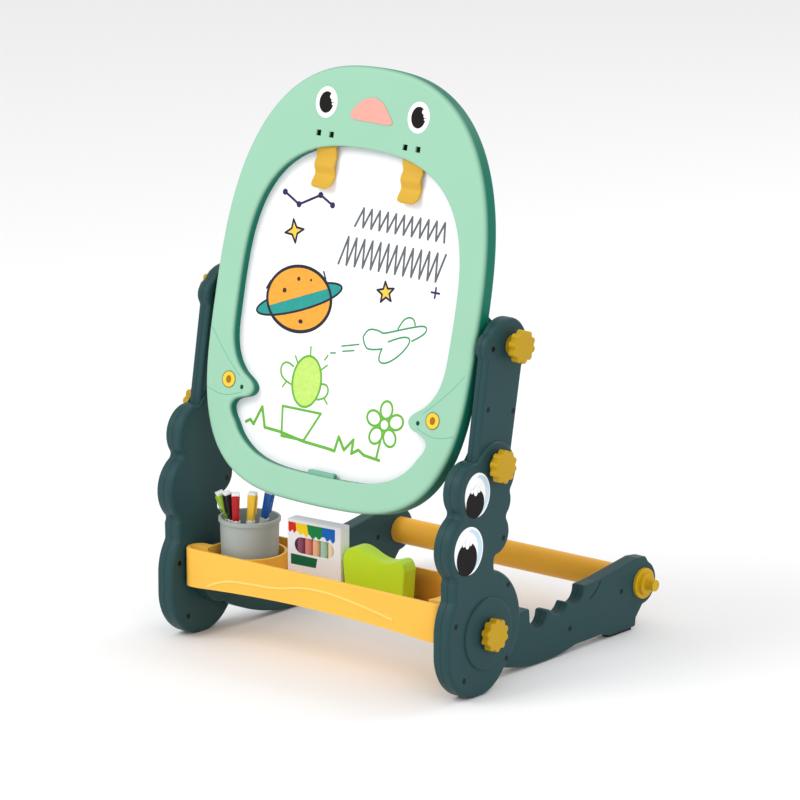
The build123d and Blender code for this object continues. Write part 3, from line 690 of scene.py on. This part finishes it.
@dataclass
class Drawing:
    """Coloured-pen drawings on the writing sheet, in the board's own millimetres."""

    board: Board
    ring_edge: tuple[Point, Point] = ((-34.7, -14.7), (33.8, 14.0))
    zigzag: float = 5.2
    navy: list[bpy.types.Object] = field(default_factory=list)
    black: list[bpy.types.Object] = field(default_factory=list)
    gold: list[bpy.types.Object] = field(default_factory=list)
    orange: list[bpy.types.Object] = field(default_factory=list)
    teal: list[bpy.types.Object] = field(default_factory=list)
    green: list[bpy.types.Object] = field(default_factory=list)
    lime: list[bpy.types.Object] = field(default_factory=list)
    forest: list[bpy.types.Object] = field(default_factory=list)
    grey: list[bpy.types.Object] = field(default_factory=list)
    peach: list[bpy.types.Object] = field(default_factory=list)
    spots: list[bpy.types.Object] = field(default_factory=list)

    def build(self) -> None:
        """Draw everything, one piece for each ink."""
        self._sky()
        self._planet()
        self._hatching()
        self._glider()
        self._garden()
        inks = {"navy": ((0.035, 0.03, 0.10), "pen_blue", 0.06),
                "orange": ((0.88, 0.36, 0.05), "orange_plastic", 0.0),
                "gold": ((0.90, 0.55, 0.08), "pen_yellow", 0.0),
                "teal": ((0.03, 0.30, 0.27), "pen_green", 0.12),
                "black": ((0.025, 0.03, 0.045), "pen_black", 0.16),
                "green": ((0.14, 0.42, 0.05), "pen_green", 0.06),
                "lime": ((0.50, 0.72, 0.16), "pen_green", 0.0),
                "forest": ((0.06, 0.30, 0.12), "pen_green", 0.0),
                "grey": ((0.13, 0.14, 0.15), "pen_black", 0.0),
                "peach": ((0.88, 0.36, 0.05), "orange_plastic", 0.30),
                "spots": ((0.06, 0.04, 0.03), "pen_black", 0.36)}
        for name, (colour, slot, lift) in inks.items():
            place = self.board.face().matrix(lift - self.board.sheet_depth)
            finish = Printed(f"ink_{name}", colour, 0.5, 0.16).material()
            settle(getattr(self, name), f"ink_{name}", place, Body.BOARD, finish)

    def _sky(self) -> None:
        """Joined-up dots, two stars and a plus."""
        dots = [(-105.2, 67.3), (-85.2, 57.3), (-59.2, 70.3), (-42.2, 62.3)]
        self.navy += strokes(dots, 2.6)
        self.navy += [patch(ellipse(x, v, 3.2, 3.2, count=20), 0.14) for x, v in dots]
        for x, v, tips, outer, inner, turn in ((-86, 30, 4, 12.0, 4.6, 16), (41, -14, 5, 11.0, 4.8, 12)):
            shape = star(x, v, tips, outer, inner, turn)
            self.gold.append(patch(shape, 0.06))
            self.black += strokes(shape, 2.2, True)
        self.navy += strokes([(98, -5), (108, -5)], 2.2)
        self.navy += strokes([(103, 0), (103, -10)], 2.2)

    def _planet(self) -> None:
        """A ringed planet: the ring passes behind its upper part."""
        x, v, wide, tall = -67.2, -36.7, 41.5, 33.0
        ring = ellipse(x, v, 56.0, 11.5, 20.4)
        self.orange.append(patch(ellipse(x, v, wide, tall), 0.06))
        self.black.append(line(ellipse(x, v, wide, tall, count=32), 3.5, True))
        self.teal.append(patch(ring, 0.08))
        self.black.append(line(ring[::2], 2.4, True))
        upper = [point for point in ellipse(x, v, wide - 1.7, tall - 1.7) if self._above_ring(point, (x, v))]
        in_order = sorted(upper, key=lambda point: -math.atan2(point[1] - v, point[0] - x - 4))
        self.peach.append(patch(in_order, 0.06))
        for dx, dv, size in ((-20, 6, 2.6), (-4, 20, 2.2), (12, 21, 1.4)):
            self.spots.append(patch(ellipse(x + dx, v + dv, size, size, count=14), 0.06))
        self.black.append(patch(ellipse(x + 6, v - 22, 2.8, 2.2, count=14), 0.1))
        self.black += strokes([(-111, -32), (-107, -24)], 1.8)
        self.black += strokes([(-41, -5), (-37, -12)], 1.8)

    def _above_ring(self, point: Point, centre: Point) -> bool:
        """Whether a point of the planet is above the ring's front edge."""
        across, up = point[0] - centre[0], point[1] - centre[1]
        (low_x, low_v), (high_x, high_v) = self.ring_edge
        return up > low_v + (across - low_x) * (high_v - low_v) / (high_x - low_x)

    def _hatching(self) -> None:
        """Two rows of pencil hatching."""
        for low, high, left, right in ((46, 65, -10, 110), (6, 34, -24, 112)):
            count = int((right - left) / self.zigzag)
            corners = []
            for number in range(count):
                lean, v = (3.0, high) if number % 2 else (0.0, low)
                corners.append((left + self.zigzag * number + lean, v))
            self.grey += strokes(corners, 2.6)

    def _glider(self) -> None:
        """A paper glider and the dashes behind it."""
        body = [(21, -62), (24, -55), (31, -52), (42, -53), (45, -55), (60, -50), (78, -44), (95, -39),
                (100, -42), (96, -49), (82, -57)]
        belly = [(21, -62), (24, -70), (31, -74), (47, -70)]
        wing = [(53, -62), (65, -56), (78, -53), (81, -58), (73, -70), (60, -81), (49, -85), (43, -80),
                (47, -69)]
        cockpit = [(63, -48), (67, -38), (76, -33), (83, -36), (84, -41)]
        self.forest += [line(part, 1.9) for part in (body, belly, wing, cockpit)]
        for first, second in (((-17, -84), (-11, -83)), ((-4, -75), (17, -70)), ((-2, -80), (12, -77))):
            self.forest += strokes([first, second], 1.7)

    def _garden(self) -> None:
        """A cactus in a pot, a flower and grass."""
        self.lime.append(patch(ellipse(-42, -117, 18.6, 26), 0.05))
        self.green.append(line(ellipse(-42, -117, 18.6, 26, count=24), 2.4, True))
        left_arm = [(-61, -105), (-70, -100), (-78, -106), (-76, -116), (-68, -121), (-61, -123)]
        right_arm = [(-24, -117), (-17, -115), (-12, -122), (-16, -131), (-26, -133)]
        self.green += [line(left_arm, 2.2), line(right_arm, 2.2)]
        spines = (((-42, -91), (-43, -82)), ((-57, -100), (-61, -94)), ((-25, -102), (-19, -97)),
                  ((-23, -92), (-20, -87)), ((-68, -121), (-72, -127)), ((-16, -131), (-12, -135)))
        for first, second in spines:
            self.green += strokes([first, second], 1.9)
        self.green += strokes([(-68, -146), (-18, -146), (-35, -176), (-64, -176)], 2.6, True)
        grass = [(-112, -169), (-107, -166), (-102, -170), (-94, -151), (-87, -171), (-68, -172),
                 (-35, -177), (-2, -179), (6, -180), (9, -165), (18, -177), (28, -165), (28, -179),
                 (36, -174), (44, -178), (64, -180)]
        self.green += strokes(grass, 3.2)
        for number in range(5):
            turn = 72 * number + 18
            x, v = 64 + 15 * math.cos(math.radians(turn)), -144 + 15 * math.sin(math.radians(turn))
            self.green.append(line(ellipse(x, v, 9.0, 7.6, turn, 16), 2.6, True))
        self.green.append(line(ellipse(64, -144, 6, 6, count=14), 2.6, True))
        self.green += strokes([(62, -160), (60, -179)], 2.8)


@dataclass
class Legs:
    """Front legs, arms and rear frame."""

    leg_face: float = 191.0
    seam: float = 0.1805
    rear_seam: float = 0.161
    eyes: tuple[tuple[float, ...], ...] = ((-140.0, 209.0, 19.7, 22.6, -144.0, 201.0, 13.9, 14.7),
                                           (-153.6, 154.4, 22.5, 24.6, -157.0, 147.0, 15.7, 17.0))
    glints: tuple[tuple[float, ...], ...] = ((0.5, -1.5, 3.4, 5.2), (-5.2, -1.0, 2.2, 2.6),
                                             (5.6, -1.6, 2.2, 2.8))

    def dress(self) -> None:
        """Give the CAD nodes their finishes."""
        teal: Colour = (0.022, 0.062, 0.066)
        upper = Moulded("teal_plastic", teal, 0.40, seam_x=self.seam).material()
        lower = Moulded("teal_rear_plastic", teal, 0.40, seam_x=self.rear_seam).material()
        for half in ("outer", "inner"):
            dress(upper, both("leg_{}_" + half) + both("arm_{}_" + half))
            dress(lower, both("rear_leg_{}_" + half))
        dress(upper, ["leg_hub_discs"])
        knob = Moulded("knob_yellow", (0.50, 0.30, 0.010), 0.34, 1200.0, gloss=0.03).material()
        for level in ("top", "middle", "bottom"):
            dress(knob, both(f"knob_{level}_" + "{}"))
        dress(Moulded("cap_yellow", (0.60, 0.37, 0.012), 0.34, gloss=0.05).material(), ["bar_caps"])
        dress(Moulded("bar_orange", (0.84, 0.42, 0.04), 0.36, gloss=0.05).material(), ["rear_bar"])
        dress(Printed("leg_eye_white", (0.93, 0.94, 0.95), 0.25, 0.02).material(), ["leg_eye_whites"])
        dress(Printed("leg_eye_black", (0.008, 0.006, 0.006), 0.3).material(), ["leg_eye_pupils"])
        dress(Metal("black_screws", (0.02, 0.026, 0.028)).material(),
              ["leg_screws", "arm_screws", "rear_leg_screws", "tray_screws"])
        dress(Metal("zinc_bolts").material(), ["arm_bolts", "rear_bolts"])
        dress(Powdery("foot_rubber", (0.02, 0.02, 0.02), (0.08, 0.08, 0.08)).material(), ["foot_pads"])
        dress(Moulded("washer_white", (0.75, 0.75, 0.72)).material(), ["board_washers"])

    def build(self) -> None:
        """Build the blue shading and the glints of the eyes on the legs."""
        white = Printed("leg_glint_white", (0.93, 0.94, 0.95), 0.25, 0.02).material()
        blue = Printed("leg_eye_blue", (0.56, 0.72, 0.82), 0.3, 0.05).material()
        for hand, name in ((1, "right"), (-1, "left")):
            side = Face((hand * self.leg_face, 0, 0), (0, hand, 0), (0, 0, 1))
            glints, shades = [], []
            for y, z, across, up, py, pz, _, pupil_up in self.eyes:
                top = pz + pupil_up
                for dy, dz, wide, tall in self.glints:
                    glint = ellipse(hand * (py + dy), top + dz, wide, tall, count=24)
                    glints.append(patch(glint, INK_HEIGHT))
                outer = ellipse(hand * (y + 0.6), z, across * 0.90, up * 0.90)
                inner = ellipse(hand * (y - 3.2), z - 0.5, across * 0.80, up * 0.84)
                front = range(-11, 12)
                edge = [outer[(step if hand > 0 else 24 - step) % 48] for step in front]
                back = [inner[(step if hand > 0 else 24 - step) % 48] for step in front]
                shades.append(patch(edge + back[::-1], 0.1))
            settle(glints, f"leg_eye_glints_{name}", side.matrix(1.0), Body.LEGS, white)
            settle(shades, f"leg_eye_shades_{name}", side.matrix(0.5), Body.LEGS, blue)


@dataclass
class Tray:
    """The tray and what stands in it."""

    front_y: float = -170.0
    carton_centre: Point = (-30.5, -119.0)
    carton_turn: float = 4.0
    carton_depth: float = 15.0
    foot_z: float = 67.3
    chalk_pitch: float = 9.6
    cap_size: float = 8.6
    cap_length: float = 28.0

    def dress(self) -> None:
        """Give the CAD nodes their finishes."""
        dress(Moulded("tray_orange", (0.90, 0.49, 0.07), 0.38, gloss=0.03).material(), ["drawing_tray"])
        dress(Moulded("cup_grey", (0.34, 0.37, 0.35), 0.42).material(), ["pen_cup"])
        dress(Moulded("eraser_lime", (0.50, 0.74, 0.03), 0.36, gloss=0.05).material(), ["eraser_body"])
        felt = Powdery("eraser_felt", (0.03, 0.03, 0.035), (0.14, 0.14, 0.14), 0.5, 1600.0)
        dress(felt.material(), ["eraser_felt"])
        card = Powdery("carton_card", (0.78, 0.79, 0.83), (0.84, 0.85, 0.88), 0.6, 500.0)
        dress(card.material(), ["chalk_box"])
        pastel = ((0.24, 0.07, 0.13), (0.62, 0.20, 0.18), (0.78, 0.45, 0.24), (0.36, 0.56, 0.46),
                  (0.80, 0.66, 0.42))
        row = ChalkRow("pastel_chalk", self.carton_centre[0] * MM, self.chalk_pitch * MM, pastel)
        dress(row.material(), ["chalk_sticks"])
        barrels = [f"marker_{name}_barrel" for name in self._inks()]
        dress(Moulded("barrel_white", (0.82, 0.82, 0.80), 0.3, gloss=0.2).material(), barrels)

    def _inks(self) -> dict[str, Colour]:
        """The colour of each marker."""
        return {"green": (0.36, 0.58, 0.03), "black": (0.02, 0.018, 0.02), "red": (0.46, 0.008, 0.012),
                "yellow": (0.80, 0.50, 0.03), "blue": (0.012, 0.12, 0.48)}

    def build(self) -> None:
        """Build the tray's bead with its painted highlight, the carton's print and the markers' caps."""
        front = Face((0, self.front_y, 0), (1, 0, 0), (0, 0, 1))
        wave = [(-136, 62), (-117, 72), (-81, 75), (-44, 76), (-7, 85), (44, 84), (108, 72)]
        # the bead is a real moulded ridge; its lighter orange is a painted highlight along it
        bead = line(wave, 2.6, height=1.0)
        settle([bead], "tray_bead", front.matrix(), Body.LEGS,
               Moulded("bead_orange", (0.97, 0.62, 0.16), 0.36).material())
        self._carton()
        for name, colour in self._inks().items():
            self._cap(name, colour)

    def _carton(self) -> None:
        """Coloured drips over the carton's window and a plain label under it."""
        turn = math.radians(self.carton_turn)
        x, y = self.carton_centre
        half = self.carton_depth / 2
        origin = (x + half * math.sin(turn), y - half * math.cos(turn), self.foot_z)
        face = Face(origin, (math.cos(turn), math.sin(turn), 0), (0, 0, 1))
        drips = {"red": [(-32, 68), (-23, 68), (-22, 60), (-25, 56.5), (-27, 60), (-30, 57), (-32, 59)],
                 "yellow": [(-23, 68), (-9, 68), (-7, 58), (-10, 54), (-13, 58), (-17, 56), (-22, 60)],
                 "green": [(-9, 68), (10, 68), (10, 58), (6, 54), (2, 57), (-2, 53), (-5, 57), (-7, 58)],
                 "blue": [(10, 68), (26, 68), (26, 56), (23, 53), (20, 57), (16, 54), (13, 58), (10, 58)]}
        inks: dict[str, Colour] = {"red": (0.62, 0.03, 0.015), "yellow": (0.86, 0.62, 0.02),
                                   "green": (0.01, 0.22, 0.06), "blue": (0.01, 0.13, 0.50)}
        for name, outline in drips.items():
            settle([patch(outline, 0.08)], f"carton_{name}", face.matrix(), Body.CHALK,
                   Printed(f"carton_{name}", inks[name], 0.5).material())
        label = patch([(-29, 24), (2, 24), (4, 34), (-29, 35)], 0.08)
        settle([label], "carton_label", face.matrix(), Body.CHALK,
               Printed("carton_label", (0.01, 0.12, 0.05), 0.5).material())

    def _cap(self, name: str, colour: Colour) -> None:
        """One marker's squared cap with its clip, and the white plug in its end.

        Args:
            name: the marker's colour name.
            colour: the cap's colour.
        """
        low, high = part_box(f"marker_{name}_cap")
        joint = next(j for j in frame["joints"] if j["name"] == f"marker_{name}_pull")
        along = Vector(joint["axis"]).normalized()
        place = Matrix.Translation((low + high) / 2) @ along.to_track_quat("Z", "Y").to_matrix().to_4x4()
        shell = self._block(self.cap_size, self.cap_length, -1.0, 0.78)
        all_off()
        bpy.ops.mesh.primitive_cube_add(size=1, location=(0, -(self.cap_size / 2 + 0.9) * MM, 2 * MM))
        clip = bpy.context.object
        clip.scale = (2.4 * MM, 1.0 * MM, 19 * MM)
        bpy.ops.object.transform_apply(location=False, rotation=False, scale=True)
        in_edit(lambda: bpy.ops.mesh.bevel(offset=0.4 * MM, segments=2))
        cap = settle([shell, clip], f"marker_{name}_cap_shell", place, f"marker_{name}",
                     Moulded(f"cap_{name}", colour, 0.3, gloss=0.3).material())
        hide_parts(f"marker_{name}_cap")
        plug = self._block(self.cap_size - 0.4, 3.0, 13.5, 1.0)
        settle([plug], f"marker_{name}_plug", place, f"marker_{name}",
               Moulded(f"plug_{name}", (0.82, 0.83, 0.85), 0.35).material())

    def _block(self, size: float, length: float, middle: float, foot: float) -> bpy.types.Object:
        """A rounded square block along Z that narrows towards its foot.

        Args:
            size: its width in millimetres.
            length: its length in millimetres.
            middle: the height of its middle in millimetres.
            foot: the width of its foot against its top.

        Returns:
            The block.
        """
        all_off()
        bpy.ops.mesh.primitive_cube_add(size=1, location=(0, 0, middle * MM))
        made = bpy.context.object
        made.scale = (size * MM, size * MM, length * MM)
        bpy.ops.object.transform_apply(location=True, rotation=False, scale=True)
        for corner in made.data.vertices:
            if corner.co.z < middle * MM:
                corner.co.x *= foot
                corner.co.y *= foot
        in_edit(lambda: bpy.ops.mesh.bevel(offset=1.0 * MM if length > 5 else 0.5 * MM, segments=3))
        return made


@dataclass
class Studio:
    """Pale floor, soft lights and the camera."""

    azimuth: float = 39.10
    elevation: float = 14.58
    lens: float = 292.8
    place: tuple[float, float, float] = (4.03046, -4.98515, 1.91376)
    floor_size: float = 60.0
    sky: float = 0.85
    lamps: tuple[tuple[str, tuple[float, float, float], float, float], ...] = (
        ("key", (-1.2, -2.4, 2.6), 1.8, 52.0),
        ("fill", (2.6, -1.4, 1.4), 2.2, 16.0),
        ("back", (0.6, 2.2, 2.2), 1.6, 22.0))

    def build(self) -> None:
        """Set up the studio."""
        all_off()
        bpy.ops.mesh.primitive_plane_add(size=self.floor_size)
        floor = bpy.context.object
        floor.name = "studio_floor"
        shader = Shader("studio_floor")
        cloud = shader.noise(0.8)
        shader.set(Base_Color=shader.mix(cloud, (0.86, 0.86, 0.87), (0.88, 0.88, 0.89)), Roughness=0.9)
        floor.data.materials.append(shader.material)
        world = bpy.data.worlds.new("studio")
        world.use_nodes = True
        world.node_tree.nodes["Background"].inputs["Color"].default_value = (1, 1, 1, 1)
        world.node_tree.nodes["Background"].inputs["Strength"].default_value = self.sky
        bpy.context.scene.world = world
        bpy.context.scene.view_settings.view_transform = "Standard"
        for name, place, size, power in self.lamps:
            self._lamp(name, place, size, power)
        bpy.ops.object.camera_add(location=self.place)
        camera = bpy.context.object
        camera.rotation_euler = (math.radians(90 - self.elevation), 0, math.radians(self.azimuth))
        camera.data.lens = self.lens
        camera.data.sensor_width = 36.0
        camera.data.clip_end = 100.0
        bpy.context.scene.camera = camera

    def _lamp(self, name: str, place: tuple[float, float, float], size: float, power: float) -> None:
        """Add a soft light aimed at the easel.

        Args:
            name: its name.
            place: where it stands, in metres.
            size: its width in metres.
            power: its power in watts.
        """
        bpy.ops.object.light_add(type="AREA", location=place)
        lamp = bpy.context.object
        lamp.name = name
        lamp.data.size = size
        lamp.data.energy = power
        aim = Vector((0, 0, 0.25)) - Vector(place)
        lamp.rotation_euler = aim.to_track_quat("-Z", "Y").to_euler()


def main() -> None:
    """Build the easel's look, part by part."""
    logging.basicConfig(level=logging.INFO, format="%(message)s")
    board = Board()
    for part in (board, Legs(), Tray()):
        part.dress()
        part.build()
        LOG.info("finished %s", type(part).__name__)
    Drawing(board).build()
    Studio().build()


if __name__ == "__main__":
    main()
